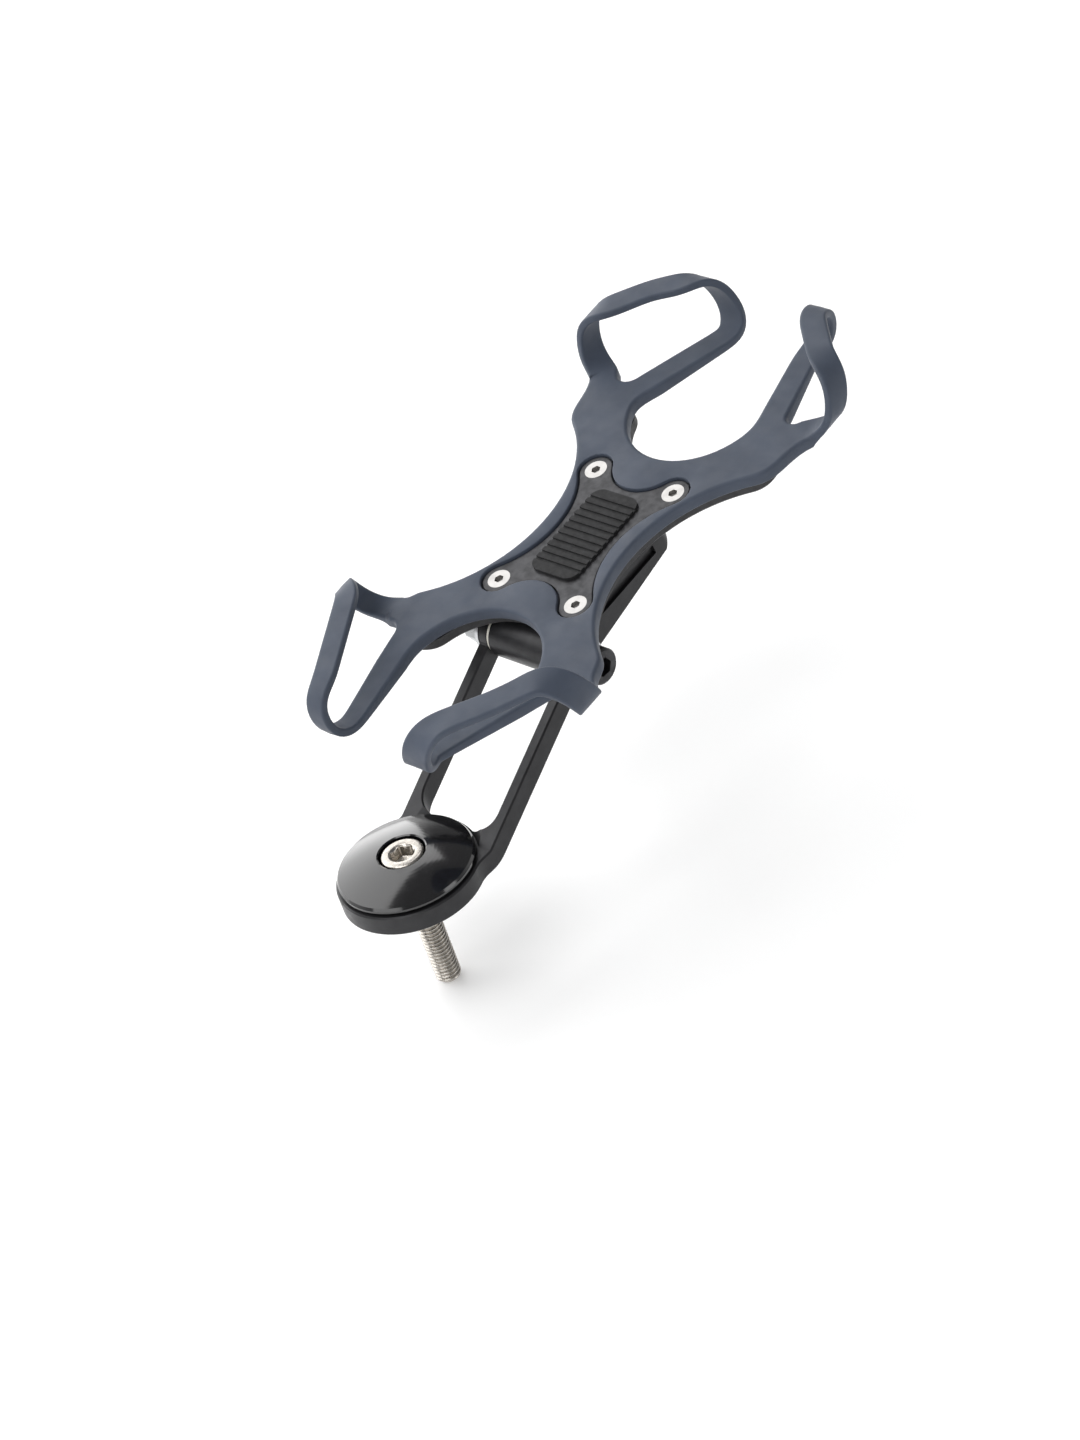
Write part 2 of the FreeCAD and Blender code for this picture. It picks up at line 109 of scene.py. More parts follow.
# ---- mesh helpers ----------------------------------------------------------------------
def mesh_object(name, points, faces, sharp=()):
    """A smooth-shaded mesh object. sharp lists vertex pairs that keep a crisp edge."""
    mesh = bpy.data.meshes.new(name)
    mesh.from_pydata([tuple(p) for p in points], [], faces)
    build = bmesh.new()
    build.from_mesh(mesh)
    bmesh.ops.recalc_face_normals(build, faces=build.faces)
    pairs = {frozenset(pair) for pair in sharp}
    for edge in build.edges:
        edge.smooth = frozenset(v.index for v in edge.verts) not in pairs
    for face in build.faces:
        face.smooth = True
    build.to_mesh(mesh)
    build.free()
    piece = bpy.data.objects.new(name, mesh)
    bpy.context.scene.collection.objects.link(piece)
    return piece


def strip(ring_a, ring_b, closed=True):
    """Quads between two rings of vertex numbers."""
    count = len(ring_a) if closed else len(ring_a) - 1
    return [(ring_a[i], ring_a[(i + 1) % len(ring_a)], ring_b[(i + 1) % len(ring_b)], ring_b[i])
            for i in range(count)]


def walls(rings, closed=True):
    """Quads between each ring of vertex numbers and the next."""
    return [quad for ring_a, ring_b in zip(rings, rings[1:]) for quad in strip(ring_a, ring_b, closed)]


def add_ring(points, outline, level):
    """Add a plane outline to the points, at a level, and return its vertex numbers."""
    first = len(points)
    points.extend(Vector((*p, level)) for p in outline)
    return list(range(first, len(points)))


def rim(top, under, top_r, under_r):
    """(inset, level) pairs down a rounded edge, with a flat margin at each end."""
    turns = [math.radians(a) for a in (0, 30, 60, 90)]
    down = [(top_r * (1 - math.sin(a)), top - top_r * (1 - math.cos(a))) for a in turns]
    back = [(under_r * (1 - math.sin(a)), under + under_r * (1 - math.cos(a)))
            for a in reversed(turns)]
    return [(top_r + RIM_FLAT, top)] + down + back + [(under_r + RIM_FLAT, under)]


def bezier(start, start_dir, end, end_dir, steps):
    """Points of a smooth plane curve between two ends with given directions."""
    pull = 0.4                               # of the distance between the ends
    reach = (end - start).length * pull
    a, b = start + start_dir * reach, end - end_dir * reach
    shares = [i / steps for i in range(steps + 1)]
    return [start * (1 - t) ** 3 + a * (3 * t * (1 - t) ** 2) + b * (3 * t * t * (1 - t)) + end * t**3
            for t in shares]


def arc(centre, radius, start, end, steps):
    """Points of an arc between two angles in radians."""
    return [centre + Vector((math.cos(a), math.sin(a))) * radius
            for a in (start + (end - start) * i / steps for i in range(steps + 1))]


def left_of(direction):
    """A plane direction turned a quarter to the left."""
    return Vector((-direction.y, direction.x))


def inward(line, first, last):
    """Unit normals to the left of a plane line, with the ends' directions given."""
    ways = [(line[min(i + 1, len(line) - 1)] - line[max(i - 1, 0)]).normalized()
            for i in range(len(line))]
    ways[0], ways[-1] = first, last
    return [left_of(way) for way in ways]


def lobe_tangents(end_u, end_v, end_r, waist_u, waist_v):
    """Centres of a four-lobed outline's hollow arcs, and where they touch a lobe."""
    side_c = (end_u**2 + end_v**2 - (waist_u - end_r) ** 2) / (2 * (end_u - waist_u + end_r))
    end_c = (end_u**2 + end_v**2 - (waist_v - end_r) ** 2) / (2 * (end_v - waist_v + end_r))
    lobe = Vector((end_u, end_v))
    to_side = (Vector((side_c, 0)) - lobe).normalized()
    to_end = (Vector((0, end_c)) - lobe).normalized()
    return side_c, end_c, lobe + to_side * end_r, lobe + to_end * end_r


LOBE = Vector((LOBE_U, LOBE_V))
SIDE_C, END_C, SIDE_TOUCH, END_TOUCH = lobe_tangents(LOBE_U, LOBE_V, LOBE_R, WAIST_U, WAIST_V)
SIDE_WAY = left_of((SIDE_TOUCH - LOBE).normalized())      # the outline's way at each touch
END_WAY = left_of((END_TOUCH - LOBE).normalized())


# ---- a band: its yoke on the web's lobe, and the strap round the corner ----------------
def edge_wrap():
    """(inside, height, outward part, front part) of the strap's middle line round an edge."""
    turns = [math.radians(a) for a in (0, 22.5, 45, 67.5, 90)]
    back = [(EDGE_BEND * (1 - math.sin(a)), BACK_W + EDGE_BEND * (1 - math.cos(a)),
             math.sin(a), -math.cos(a)) for a in turns]
    front = [(inside, BACK_W + FRONT_W - w, out, -up) for inside, w, out, up in reversed(back)]
    return back + front


def strap_stations(width, on_side, on_end, run, port_side, port_end):
    """Rows of point, facing, width, thickness and crown down a strap, in its own quadrant."""
    slab_t, slab_mid = WEB_TOP - WEB_UNDER, (WEB_TOP + WEB_UNDER) / 2
    rise = edge_wrap()
    steps = len(rise) - 1
    rows = [(*port_side, slab_mid, 0, 0, -1, 2 * LEG_HALF, slab_t, 0)]
    for i, (inside, w, out, up) in enumerate(rise):
        v = on_side[1] + (on_side[0] - on_side[1]) * i / steps
        rows.append((EDGE_U - inside, v, w, out, 0, up, width + STRAP_EXTRA, STRAP_T, CROWN_EDGE))
    rows += [(u, v, FRONT_W, 0, 0, 1, width, STRAP_T, CROWN_FRONT) for u, v in run]
    for i, (inside, w, out, up) in enumerate(reversed(rise)):
        u = on_end[0] + (on_end[1] - on_end[0]) * i / steps
        rows.append((u, EDGE_V - inside, w, 0, out, up, width + STRAP_EXTRA, STRAP_T, CROWN_EDGE))
    rows.append((*port_end, slab_mid, 0, 0, -1, 2 * LEG_HALF, slab_t, 0))
    return np.array(rows, float)


def smoothed(rows, step, spread):
    """The rows spaced evenly and rounded off, with both ends kept as they are."""
    fine, spreads = 0.25, 4                  # spacing to work at, half width of the rounding
    along = np.concatenate([[0], np.cumsum(np.linalg.norm(np.diff(rows[:, :3], axis=0), axis=1))])
    places = np.linspace(0, along[-1], int(along[-1] / fine) + 1)
    dense = np.stack([np.interp(places, along, column) for column in rows.T], axis=1)
    reach = int(spreads * spread / fine)
    head = 2 * dense[0] - dense[reach:0:-1]
    tail = 2 * dense[-1] - dense[-2:-reach - 2:-1]
    padded = np.concatenate([head, dense, tail])
    kernel = np.exp(-0.5 * (np.arange(-reach, reach + 1) * fine / spread) ** 2)
    kernel /= kernel.sum()
    even = np.stack([np.convolve(column, kernel, mode="valid") for column in padded.T], axis=1)
    even[0], even[-1] = rows[0], rows[-1]
    picks = np.linspace(0, len(even) - 1, int(along[-1] / step) + 1).round().astype(int)
    return even[picks]


def strap_section(at, across, facing, width, thick, crown, rims):
    """One section of a strap: its right edge, its outer face, its left edge, its inner face."""
    edge = rim(thick / 2, -thick / 2, *rims)
    right = [at + across * (width / 2 - inset) - facing * level for inset, level in edge]
    left = [at - across * (width / 2 - inset) - facing * level for inset, level in reversed(edge)]
    outer, inner = at + facing * (thick / 2 + crown), at - facing * (thick / 2)
    return right + [outer] + left + [inner]


def band(name, sign_u, sign_v, width, on_side, on_end, run):
    """A corner band as one closed mesh, placed in the cradle's frame."""
    # two legs leave the lobe, towards the phone's side and towards its end
    to_side = (Vector((EDGE_U - EDGE_BEND, on_side[1])) - LOBE).normalized()
    to_end = (Vector((on_end[1], EDGE_V - EDGE_BEND)) - LOBE).normalized()
    side_reach = min(LEG_SIDE, (EDGE_U - EDGE_BEND - LOBE_U) / to_side.x - PORT_GAP)
    port_side, port_end = LOBE + to_side * side_reach, LOBE + to_end * LEG_END
    half_side, half_end = left_of(to_side) * LEG_HALF, left_of(to_end) * LEG_HALF

    # the yoke's outline: outer line of the side leg, the fork, outer line of the end leg
    flank = bezier(SIDE_TOUCH, SIDE_WAY, port_side - half_side, to_side, steps=10)
    brow = bezier(port_end + half_end, -to_end, END_TOUCH, END_WAY, steps=14)
    opening = to_side.angle(to_end) / 2
    middle = (to_side + to_end).normalized()
    crotch_r = min(CROTCH_R, side_reach * math.tan(opening) - LEG_HALF - RIM_FLAT)
    centre = LOBE + middle * ((LEG_HALF + crotch_r) / math.sin(opening))
    first = math.atan2(-half_side.y, -half_side.x)
    crotch = arc(centre, crotch_r, first, first - (math.pi - 2 * opening), LOBE_STEPS)
    crotch = [port_side + half_side] + crotch + [port_end - half_end]

    points, faces, sharp = [], [], []

    def add(point):
        points.append(point)
        return len(points) - 1

    slab_rim = rim(WEB_TOP, WEB_UNDER, RIM_TOP_R, RIM_UNDER_R)

    def edge_lines(line, first_way, last_way):
        """A grid of vertices over a rounded edge, one row for each point of the line."""
        normals = inward(line, first_way, last_way)
        return [[add(Vector((*(p + n * inset), level))) for inset, level in slab_rim]
                for p, n in zip(line, normals)]

    edges = [edge_lines(flank, SIDE_WAY, to_side), edge_lines(crotch, -to_side, to_end),
             edge_lines(brow, -to_end, END_WAY)]
    for grid in edges:
        faces += walls(grid, closed=False)
    mids = {key: add(Vector((*spot, level))) for key, spot, level in (
        ("side_top", port_side, WEB_TOP), ("side_under", port_side, WEB_UNDER),
        ("end_top", port_end, WEB_TOP), ("end_under", port_end, WEB_UNDER),
        ("root_top", LOBE, WEB_TOP), ("root_under", LOBE, WEB_UNDER))}
    # flat faces of the yoke: its top, its underside and its two ends on the hub
    for face, rank in (("top", 0), ("under", -1)):
        outline = [row[rank] for row in edges[0]] + [mids["side_" + face]]
        outline += [row[rank] for row in edges[1]] + [mids["end_" + face]]
        outline += [row[rank] for row in edges[2]] + [mids["root_" + face]]
        faces.append(outline)
    root_a, root_b = edges[0][0], edges[2][-1]
    faces.append(root_a + [mids["root_under"], mids["root_top"]])
    faces.append(root_b + [mids["root_under"], mids["root_top"]])
    for root in (root_a, root_b):
        loop = [mids["root_top"]] + root + [mids["root_under"]]
        sharp += zip(loop, loop[1:])

    # the strap, from the side port round the corner to the end port
    rows = smoothed(strap_stations(width, on_side, on_end, run, port_side, port_end),
                    STRAP_STEP, STRAP_SMOOTH)
    rings = [edges[0][-1] + [mids["side_under"]] + edges[1][0][::-1] + [mids["side_top"]]]
    for i in range(1, len(rows) - 1):
        at, facing = Vector(rows[i, :3]), Vector(rows[i, 3:6])
        along = Vector(rows[i + 1, :3] - rows[i - 1, :3]).normalized()
        facing = (facing - along * facing.dot(along)).normalized()
        thin = (rows[i, 7] - STRAP_T) / (WEB_TOP - WEB_UNDER - STRAP_T)
        rims = [STRAP_RIM + (r - STRAP_RIM) * thin for r in (RIM_TOP_R, RIM_UNDER_R)]
        section = strap_section(at, facing.cross(along), facing, *rows[i, 6:9], rims)
        rings.append([add(p) for p in section])
    rings.append(edges[2][0] + [mids["end_under"]] + edges[1][-1][::-1] + [mids["end_top"]])
    faces += walls(rings)

    placed = [from_cradle(p.x * sign_u, p.y * sign_v, p.z) for p in points]
    piece = mesh_object(f"silicone_band_{name}", placed, faces, sharp)
    piece.data.materials.append(silicone)
    body = f"band_{name}"
    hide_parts(body)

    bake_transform(piece)


# ---- the web's hub ---------------------------------------------------------------------
def quadrant_outline():
    """The hollow arcs of one quarter of the hub, from the side waist and to the end waist."""
    start = math.atan2(SIDE_TOUCH.y, SIDE_TOUCH.x - SIDE_C)
    side = arc(Vector((SIDE_C, 0)), SIDE_C - WAIST_U, math.pi, start, SIDE_STEPS)
    start = math.atan2(END_TOUCH.y - END_C, END_TOUCH.x)
    end = arc(Vector((0, END_C)), END_C - WAIST_V, start, -math.pi / 2, END_STEPS)
    return side, end


def around(quarter):
    """A closed outline from a quarter that runs from the u axis to the v axis."""
    other = [Vector((-p.x, p.y)) for p in reversed(quarter[:-1])]
    upper = quarter + other
    return upper + [Vector((-p.x, -p.y)) for p in upper[1:-1]]


def encloses(outline, spot):
    """True where a plane point lies inside a closed outline."""
    inside = False
    for a, b in zip(outline, outline[1:] + outline[:1]):
        if (a.y > spot.y) == (b.y > spot.y):
            continue
        if spot.x < a.x + (b.x - a.x) * (spot.y - a.y) / (b.y - a.y):
            inside = not inside
    return inside


def flat_between(outer, holes, points):
    """Triangles of the level face inside one closed outline and outside the others."""
    numbers, rims, outlines = [], [], []
    for ring in [outer] + holes:
        first = len(numbers)
        numbers += ring
        rims += [(first + i, first + (i + 1) % len(ring)) for i in range(len(ring))]
        outlines.append([points[i].xy for i in ring])
    spots = [points[i].xy for i in numbers]
    filled, tolerance = 1, 1e-6              # mode: the inside of the rims, in triangles
    made, _, triangles, sources, _, _ = delaunay_2d_cdt(spots, rims, [], filled, tolerance)
    kept = []
    for triangle in triangles:
        middle = sum((made[i] for i in triangle), Vector((0, 0))) / 3
        in_hole = any(encloses(hole, middle) for hole in outlines[1:])
        if encloses(outlines[0], middle) and not in_hole:
            kept.append([numbers[sources[i][0]] for i in triangle])
    return kept


def lobed_outline(lobe_u, lobe_v, lobe_r, waist_u, waist_v, inset):
    """A four-lobed outline, moved inwards by an inset."""
    lobe_r, waist_u, waist_v = lobe_r - inset, waist_u - inset, waist_v - inset
    side_c, end_c, side_touch, end_touch = lobe_tangents(lobe_u, lobe_v, lobe_r, waist_u, waist_v)
    lobe = Vector((lobe_u, lobe_v))
    turn = math.atan2(side_touch.y, side_touch.x - side_c)
    quarter = arc(Vector((side_c, 0)), side_c - waist_u, math.pi, turn, SIDE_STEPS)
    first = math.atan2(side_touch.y - lobe.y, side_touch.x - lobe.x)
    last = math.atan2(end_touch.y - lobe.y, end_touch.x - lobe.x)
    quarter += arc(lobe, lobe_r, first, last, LOBE_STEPS)[1:-1]
    turn = math.atan2(end_touch.y - end_c, end_touch.x)
    quarter += arc(Vector((0, end_c)), end_c - waist_v, turn, -math.pi / 2, END_STEPS)
    return around(quarter)


def hub():
    """The X-shaped middle of the silicone web, with the retainer's hollow in its top."""
    side, end = quadrant_outline()
    side_n = inward(side, Vector((0, 1)), SIDE_WAY)
    end_n = inward(end, END_WAY, Vector((-1, 0)))
    half_side = (LOBE - SIDE_TOUCH).normalized() * (LOBE_R / 2)
    half_end = (LOBE - END_TOUCH).normalized() * (LOBE_R / 2)
    port = [SIDE_TOUCH + half_side, LOBE, END_TOUCH + half_end]
    points, faces, sharp = [], [], []

    def ring(inset, level):
        quarter = [p + n * inset for p, n in zip(side, side_n)] + port
        quarter += [p + n * inset for p, n in zip(end, end_n)]
        return add_ring(points, around(quarter), level)

    rings = [ring(inset, level) for inset, level in rim(WEB_TOP, WEB_UNDER, RIM_TOP_R, RIM_UNDER_R)]
    faces += walls(rings)
    faces.append(rings[-1])

    # ports to the bands keep crisp borders, so that their shading meets the hub's. ranks
    # gives each point of a ring its place in its own quarter: up one, back down the next
    port_first, port_last = len(side) - 1, len(side) + len(port)
    ranks = list(range(len(side) + len(port) + len(end)))
    ranks += ranks[-2::-1]
    ranks += ranks[1:-1]
    for i, rank in enumerate(ranks):
        following = (i + 1) % len(ranks)
        if all(port_first <= r <= port_last for r in (rank, ranks[following])):
            sharp += [(border[i], border[following]) for border in (rings[0], rings[-1])]
        if rank in (port_first, port_last):
            sharp += [(a[i], b[i]) for a, b in zip(rings, rings[1:])]

    # the retainer's hollow
    lips = [(-LIP_R, WEB_TOP), (-LIP_MID, WEB_TOP - LIP_MID), (0, WEB_TOP - LIP_R), (0, RECESS_FLOOR)]
    inner = [add_ring(points, lobed_outline(*RETAINER, inset - RETAINER_PLAY), level)
             for inset, level in lips]
    faces += walls(inner)
    faces.append(inner[-1])
    faces += flat_between(rings[0], inner[:1], points)
    sharp += zip(inner[-1], inner[-1][1:] + inner[-1][:1])

    piece = mesh_object("silicone_hub", [from_cradle(*p) for p in points], faces, sharp)
    piece.data.materials.append(silicone)
    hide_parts("web_hub")
    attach(piece, "cradle")


def retainer():
    """The thin steel plate over the web's middle, countersunk for its four screws."""
    points = []
    screw_u, screw_v = RETAINER[:2]

    def circle(at, radius, level):
        return add_ring(points, arc(at, radius, 0, 2 * math.pi, HOLE_STEPS)[:-1], level)

    rings = [add_ring(points, lobed_outline(*RETAINER, inset), level)
             for inset, level in rim(RETAINER_TOP, RECESS_FLOOR, *RETAINER_RIM)]
    faces = walls(rings)
    mouths, floors = [], []
    for a in (1, -1):
        for b in (1, -1):
            at = Vector((a * screw_u, b * screw_v))
            mouths.append(circle(at, SCREW_HEAD_R, RETAINER_TOP))
            floors.append(circle(at, SCREW_SHANK_R, RECESS_FLOOR))
            faces += strip(mouths[-1], floors[-1])
    faces += flat_between(rings[0], mouths, points) + flat_between(rings[-1], floors, points)
    sharp = [(hole[i - 1], hole[i]) for hole in mouths + floors for i in range(len(hole))]
    piece = mesh_object("retainer_plate_finished", [from_cradle(*p) for p in points], faces, sharp)
    piece.data.materials.append(oxide)
    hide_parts("retainer_plate")
    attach(piece, "cradle")


# ---- the top cap's bolt, with its thread -----------------------------------------------
def top_cap_bolt():
    """An M6 socket screw: turned head, broached hexagon and a real helical thread."""
    low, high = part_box("top_cap_bolt")
    tip, top = low.z / MM, high.z / MM
    head_r, head_h, shank_r, shank_end = high.x / MM, 6.0, 2.7, 0.4
    thread_r, depth, pitch, lead_in = 3.0, 0.6, 1.0, 0.6
    crest, slope = 1.35, 3.2                 # how wide and how steep the thread's ridge is
    socket_half, socket_depth = 2.5, 3.2
    facets, rows_per_pitch = 60, 8
    angles = [2 * math.pi * i / facets for i in range(facets)]
    points, rings = [], []

    def ring(radius_at, z):
        first = len(points)
        points.extend(Vector((r * math.cos(a), r * math.sin(a), z)) * MM
                      for a, r in ((a, radius_at(a)) for a in angles))
        rings.append(list(range(first, first + facets)))

    def round_ring(radius, z):
        ring(lambda a: radius, z)

    def hexagon(a):
        """The socket's radius at an angle."""
        return socket_half / math.cos((a + math.pi / 6) % (math.pi / 3) - math.pi / 6)

    def hexagon_ring(share, z):
        ring(lambda a: hexagon(a) * share, z)

    # the socket, from the drill point up to its chamfered mouth
    hexagon_ring(0.05, top - socket_depth - 1.0)
    hexagon_ring(0.6, top - socket_depth - 0.55)
    round_ring(socket_half * 0.98, top - socket_depth)
    hexagon_ring(0.995, top - socket_depth + 0.03)
    hexagon_ring(1, top - socket_depth + 0.1)
    hexagon_ring(1, top - 0.5)
    ring(lambda a: max(hexagon(a), socket_half + 0.1), top - 0.42)

    # radius and drop below the top, over the head's face and down its rounded edge
    face = ((2.98, 0.12), (3.05, 0.03), (3.2, 0.0), (head_r - 0.75, 0.0), (head_r - 0.5, 0.03),
            (head_r - 0.22, 0.14), (head_r - 0.06, 0.34), (head_r, 0.6), (head_r, 0.9))
    # and round the head's lower edge to the shank
    neck = ((head_r, head_h - 0.3), (head_r - 0.25, head_h), (shank_r + 0.4, head_h),
            (shank_r, head_h + 0.4))
    for radius, drop in face + neck:
        round_ring(radius, top - drop)
    round_ring(shank_r, shank_end)

    # the thread, which fades out at its two ends
    core_r = thread_r - depth

    def threaded(a, z):
        """The thread's radius at an angle and a height."""
        phase = (z / pitch - a / (2 * math.pi)) % 1.0
        flank = min(max(crest - abs(phase - 0.5) * slope, 0.0), 1.0)
        grown = min(1.0, -z / lead_in, (z - tip) / lead_in)
        return core_r + depth * flank * max(grown, 0.0)

    steps = int(-tip / pitch * rows_per_pitch)
    for z in (tip * i / steps for i in range(steps + 1)):
        ring(lambda a, z=z: threaded(a, z), z)
    round_ring(core_r * 0.5, tip)

    faces = walls(rings) + [rings[0], rings[-1]]
    piece = mesh_object("top_cap_bolt_threaded", points, faces)
    piece.data.materials.append(stainless)
    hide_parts("top_cap_bolt")
    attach(piece, "bracket")


# ---- materials -------------------------------------------------------------------------
COAT_ROUGHNESS, SHEEN_ROUGHNESS = 0.08, 0.5
BUMP_DEPTH = 0.0001                          # m, of the grain at full strength
SMEAR_SCALE = 2.3                            # gloss varies this much finer than colour
RING_WAVER, RING_DETAIL = 1.5, 40            # unevenness of turning marks


def link_noise(tree, coordinates, scale, detail):
    """The factor of a noise over the coordinates."""
    noise = tree.nodes.new("ShaderNodeTexNoise")
    noise.inputs["Scale"].default_value = scale
    noise.inputs["Detail"].default_value = detail
    tree.links.new(coordinates, noise.inputs["Vector"])
    return noise.outputs["Fac"]


def ramp_between(tree, factor, low, high, start=0.35, end=0.65):
    """A value that runs from low to high as a factor rises from start to end."""
    span = tree.nodes.new("ShaderNodeMapRange")
    for socket, value in (("From Min", start), ("From Max", end), ("To Min", low), ("To Max", high)):
        span.inputs[socket].default_value = value
    tree.links.new(factor, span.inputs["Value"])
    return span.outputs["Result"]


def surface(name, colour, roughness, vary, mottle, grain, metallic=0.0, coat=0.0, sheen=0.0,
            specular=0.5, rings=None):
    """A procedural finish in the object's own coordinates: mottled colour and gloss, and a bump.

    roughness is its lowest and highest value, vary the colour's spread, mottle the scale
    of the patches, grain the scale and strength of the bump, and rings the axis and scale
    of turning marks, which take the grain's place.
    """
    made = bpy.data.materials.new(name)
    made.use_nodes = True
    tree = made.node_tree
    shader = tree.nodes["Principled BSDF"]
    shader.inputs["Metallic"].default_value = metallic
    shader.inputs["Coat Weight"].default_value = coat
    shader.inputs["Coat Roughness"].default_value = COAT_ROUGHNESS
    shader.inputs["Sheen Weight"].default_value = sheen
    shader.inputs["Sheen Roughness"].default_value = SHEEN_ROUGHNESS
    shader.inputs["Specular IOR Level"].default_value = specular
    place = tree.nodes.new("ShaderNodeTexCoord").outputs["Object"]
    patches = link_noise(tree, place, mottle, detail=4)
    mix = tree.nodes.new("ShaderNodeMix")
    mix.data_type = "RGBA"
    mix.inputs["A"].default_value = (*[c * (1 - vary) for c in colour], 1)
    mix.inputs["B"].default_value = (*[c * (1 + vary) for c in colour], 1)
    tree.links.new(ramp_between(tree, patches, 0, 1), mix.inputs["Factor"])
    tree.links.new(mix.outputs["Result"], shader.inputs["Base Color"])
    smears = link_noise(tree, place, mottle * SMEAR_SCALE, detail=5)
    tree.links.new(ramp_between(tree, smears, *roughness), shader.inputs["Roughness"])
    bump = tree.nodes.new("ShaderNodeBump")
    bump.inputs["Strength"].default_value = grain[1]
    bump.inputs["Distance"].default_value = BUMP_DEPTH
    if rings:
        wave = tree.nodes.new("ShaderNodeTexWave")
        wave.wave_type = "RINGS"
        wave.rings_direction = rings[0]
        wave.inputs["Scale"].default_value = rings[1]
        wave.inputs["Distortion"].default_value = RING_WAVER
        wave.inputs["Detail Scale"].default_value = RING_DETAIL
        tree.links.new(place, wave.inputs["Vector"])
        height = wave.outputs["Fac"]
    else:
        height = link_noise(tree, place, grain[0], detail=3)
    tree.links.new(height, bump.inputs["Height"])
    tree.links.new(bump.outputs["Normal"], shader.inputs["Normal"])
    return made


silicone = surface("slate_silicone", (0.052, 0.065, 0.093), roughness=(0.52, 0.64), vary=0.07,
                   mottle=120, grain=(2600, 0.10), sheen=0.08, specular=0.32)
anodised = surface("black_anodised", (0.026, 0.026, 0.028), roughness=(0.33, 0.42), vary=0.15,
                   mottle=260, grain=(6000, 0.16), metallic=0.5)
gloss = surface("gloss_black", (0.006, 0.006, 0.007), roughness=(0.10, 0.15), vary=0.1,
                mottle=200, grain=(9000, 0.012), coat=0.6)
stainless = surface("turned_stainless", (0.50, 0.47, 0.43), roughness=(0.22, 0.34), vary=0.12,
                    mottle=700, grain=(3000, 0.015), metallic=1.0, rings=("Z", 2600))
machined = surface("machined_stainless", (0.40, 0.39, 0.38), roughness=(0.3, 0.4), vary=0.06,
                   mottle=300, grain=(2500, 0.04), metallic=1.0)
oxide = surface("black_oxide", (0.05, 0.05, 0.053), roughness=(0.38, 0.5), vary=0.25,
                mottle=400, grain=(5000, 0.12), metallic=0.8)
zinc = surface("zinc_plate", (0.52, 0.53, 0.54), roughness=(0.26, 0.38), vary=0.12,
               mottle=500, grain=(4000, 0.08), metallic=1.0)
nylon = surface("natural_nylon", (0.72, 0.70, 0.62), roughness=(0.45, 0.55), vary=0.05,
                mottle=200, grain=(5000, 0.05))
bronze = surface("turned_bronze", (0.50, 0.33, 0.14), roughness=(0.28, 0.4), vary=0.15,
                 mottle=500, grain=(3000, 0.05), metallic=1.0, rings=("X", 2400))
filled_nylon = surface("glass_filled_nylon", (0.026, 0.026, 0.028), roughness=(0.5, 0.62),
                       vary=0.2, mottle=500, grain=(2200, 0.5), specular=0.45)
rubber = surface("pad_rubber", (0.018, 0.018, 0.019), roughness=(0.68, 0.8), vary=0.2,
                 mottle=400, grain=(3500, 0.25), specular=0.35)

# the nodes that keep their CAD shape, by finish
FINISHES = {
    anodised: ("fork_bracket", "hinge_block"),
    gloss: ("top_cap",),
    oxide: ("pivot_bolt",),
    zinc: ("pivot_nut", "pivot_washer_left", "pivot_washer_right", "block_screws", "retainer_nuts"),
    nylon: ("friction_washer_left", "friction_washer_right"),
    bronze: ("pivot_sleeve",),
    filled_nylon: ("cradle_plate",),
    machined: ("retainer_screws",),
    rubber: ("grip_pad",),
}


# ---- stage, light and camera -----------------------------------------------------------
def floor():
    """A wide pale floor just under the bolt's tip, lit evenly where the lamps don't reach."""
    half, gap = 20.0, 0.0005
    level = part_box("top_cap_bolt")[0].z - gap
    signs = ((-1, -1), (1, -1), (1, 1), (-1, 1))
    corners = [Vector((a * half, b * half, level)) for a, b in signs]
    piece = mesh_object("floor", corners, [(0, 1, 2, 3)])
    pale = bpy.data.materials.new("pale_floor")
    pale.use_nodes = True
    tree = pale.node_tree
    shader = tree.nodes["Principled BSDF"]
    shader.inputs["Base Color"].default_value = (0.86, 0.86, 0.86, 1)
    shader.inputs["Roughness"].default_value = 0.9
    shader.inputs["Emission Color"].default_value = (1, 1, 1, 1)
    distance = tree.nodes.new("ShaderNodeVectorMath")
    distance.operation = "LENGTH"
    tree.links.new(tree.nodes.new("ShaderNodeTexCoord").outputs["Object"], distance.inputs[0])
    glow = ramp_between(tree, distance.outputs["Value"], 0.22, 0.72, start=0.6, end=2.4)
    tree.links.new(glow, shader.inputs["Emission Strength"])
    piece.data.materials.append(pale)


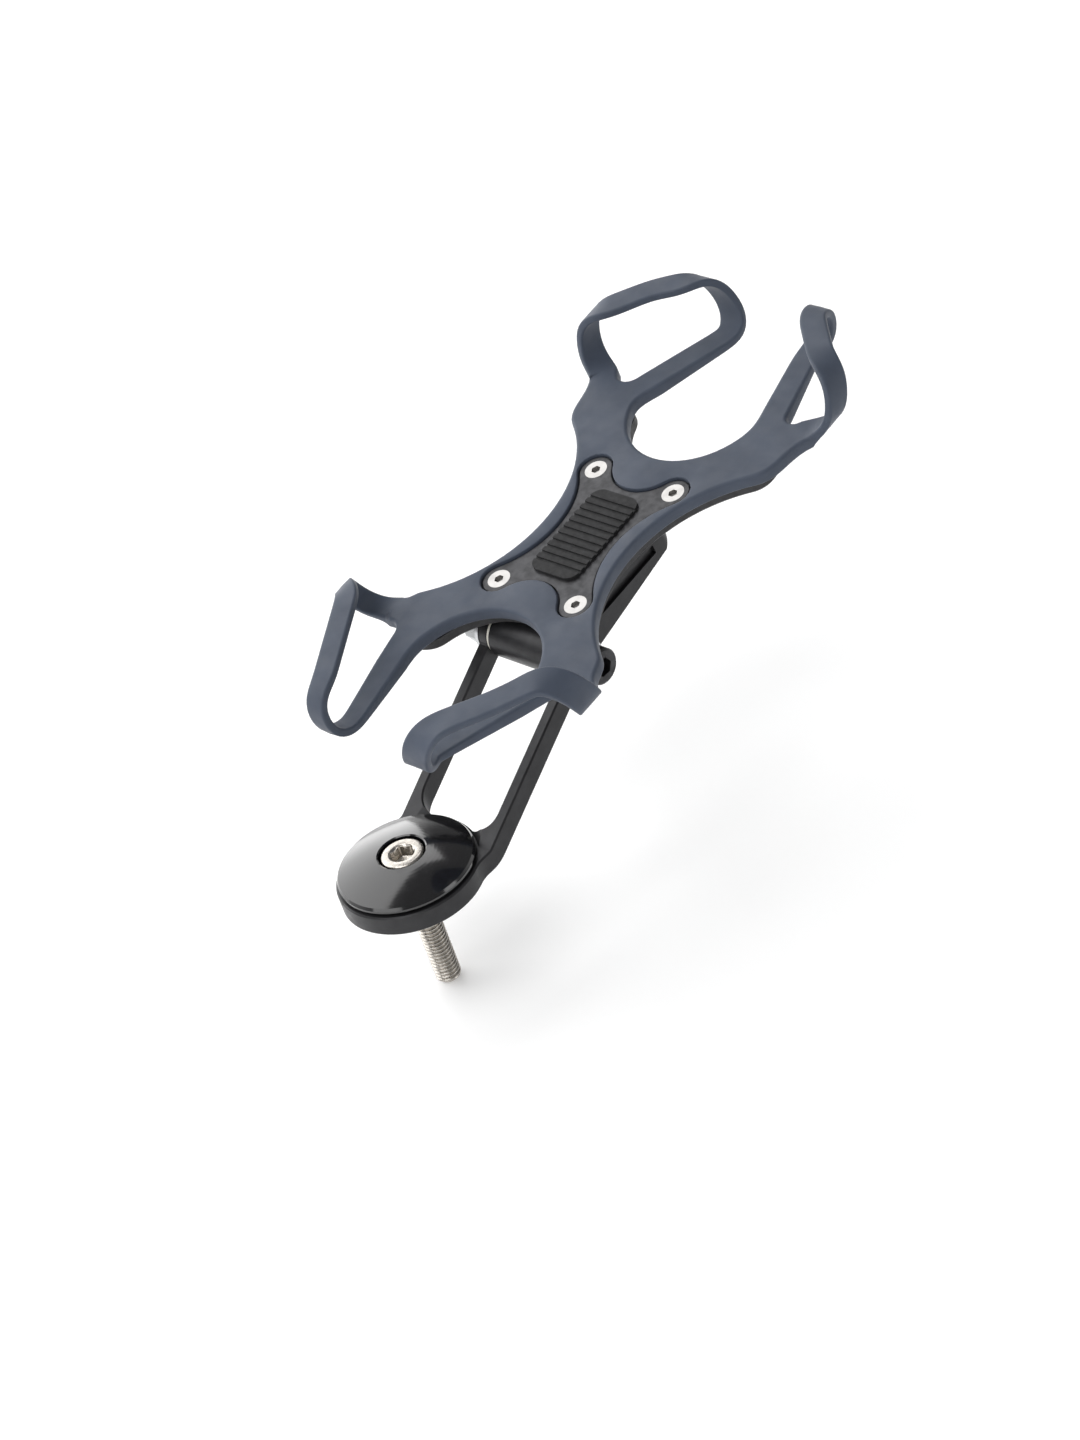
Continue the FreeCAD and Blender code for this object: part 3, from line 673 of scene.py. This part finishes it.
def softbox(name, at, target, size, watts):
    """A rectangular lamp that faces a target."""
    lamp = bpy.data.lights.new(name, "AREA")
    lamp.shape = "RECTANGLE"
    lamp.size, lamp.size_y = size
    lamp.energy = watts
    holder = bpy.data.objects.new(name, lamp)
    holder.location = at
    holder.rotation_euler = (Vector(target) - Vector(at)).to_track_quat("-Z", "Y").to_euler()
    bpy.context.scene.collection.objects.link(holder)


def studio():
    """A dim room with a pale band round the horizon."""
    world = bpy.data.worlds.new("studio")
    world.use_nodes = True
    tree = world.node_tree
    split = tree.nodes.new("ShaderNodeSeparateXYZ")
    tree.links.new(tree.nodes.new("ShaderNodeTexCoord").outputs["Generated"], split.inputs["Vector"])
    backdrop = tree.nodes["Background"]
    backdrop.inputs["Color"].default_value = (1, 1, 1, 1)
    glow = ramp_between(tree, split.outputs["Z"], 0.85, 0.22, start=0.1, end=0.3)
    tree.links.new(glow, backdrop.inputs["Strength"])
    bpy.context.scene.world = world


def camera():
    """A long lens on the rider's right, above and a little behind the mount."""
    eye = Vector((0.62104, -0.39344, 0.56689))
    forward = Vector((-0.65876, 0.46720, -0.58970))
    up = Vector((-0.25920, 0.59489, 0.76087))
    data = bpy.data.cameras.new("camera")
    data.lens, data.sensor_width = 104.98, 36
    data.clip_start, data.clip_end = 0.02, 60
    holder = bpy.data.objects.new("camera", data)
    columns = Matrix((forward.cross(up).normalized(), up, -forward)).transposed()
    holder.matrix_world = Matrix.Translation(eye) @ columns.to_4x4()
    bpy.context.scene.collection.objects.link(holder)
    bpy.context.scene.camera = holder


# ---- build -----------------------------------------------------------------------------
for finish, names in FINISHES.items():
    for name in names:
        nodes[name].data.materials.clear()
        nodes[name].data.materials.append(finish)
hub()
retainer()
for name, place in BANDS.items():
    band(name, *place)
top_cap_bolt()

floor()
softbox("key", (-0.80, 0.05, 0.55), (0, 0.02, 0.01), (1.5, 1.3), 14)
softbox("top", (0.1, -0.5, 1.1), (0, 0.05, 0), (0.8, 0.8), 6.5)
softbox("fill", (0.9, 0.3, 0.35), (0, 0.05, 0.02), (0.4, 0.3), 0.8)
softbox("back", (0.1, -1.0, 0.3), (0, 0.05, 0.02), (0.8, 0.3), 1.5)
camera()
studio()
bpy.context.scene.view_settings.view_transform = "Standard"
